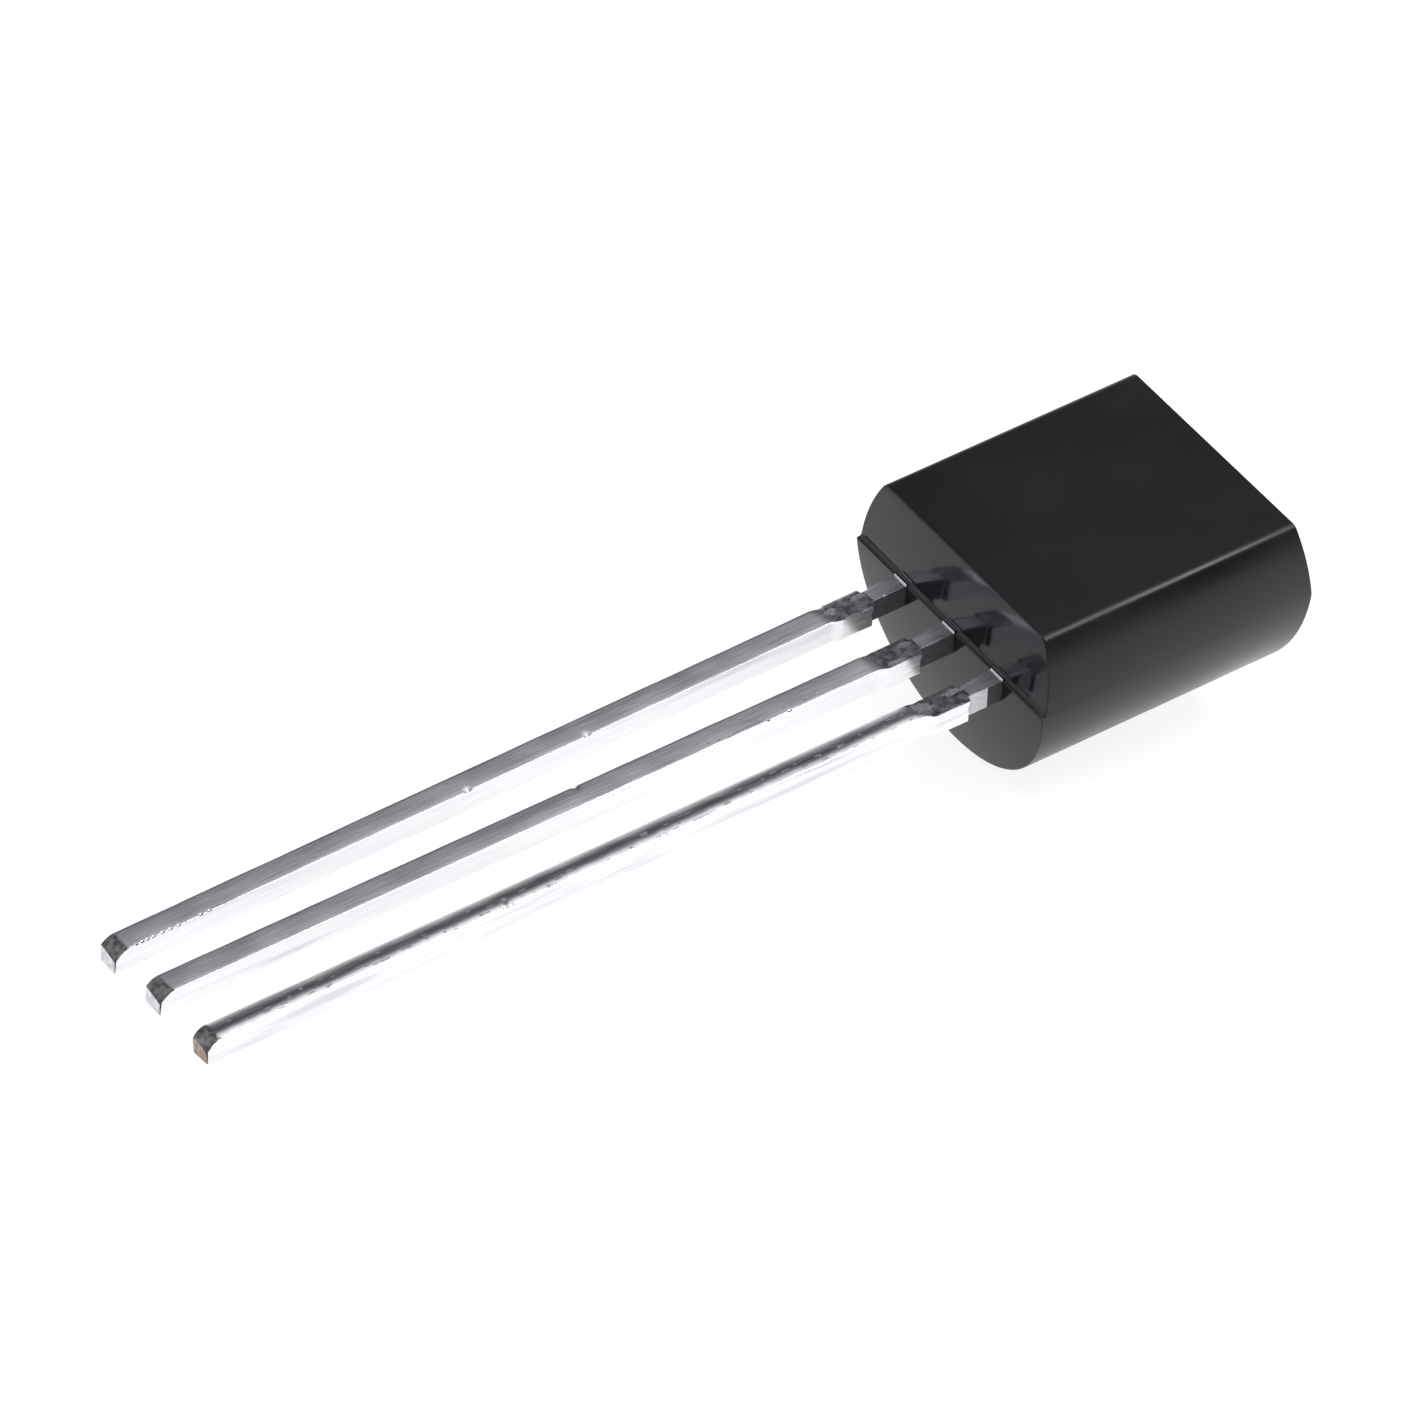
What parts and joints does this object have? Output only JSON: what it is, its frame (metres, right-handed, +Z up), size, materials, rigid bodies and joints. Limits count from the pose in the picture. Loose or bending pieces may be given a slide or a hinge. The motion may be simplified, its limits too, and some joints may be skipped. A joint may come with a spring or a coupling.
{
  "type": "small-signal transistor",
  "caption": "Small three-lead transistor with a D-shaped black epoxy body and three long straight tinned leads in a row, lying on its rounded back.",
  "frame": {"origin": "on the surface that the transistor lies on, under the middle of its bounding box", "axes": "+X from the lead tips to the body's head, +Z up, with the flat of the body turned up and leaning with the leads by the angle at which the part rests"},
  "size_m": [0.0196, 0.0048, 0.0043],
  "materials": {
    "epoxy": "satin",
    "tinned_copper": "gloss",
    "bonding_alloy": "satin",
    "silicon": "polished",
    "gold_wire": "polished"
  },
  "bodies": {
    "root": {"moulded_body": "epoxy", "emitter_lead": "tinned_copper", "collector_lead": "tinned_copper", "base_lead": "tinned_copper", "die_attach": "bonding_alloy", "silicon_die": "silicon", "emitter_wire": "gold_wire", "base_wire": "gold_wire"}
  },
  "joints": []
}
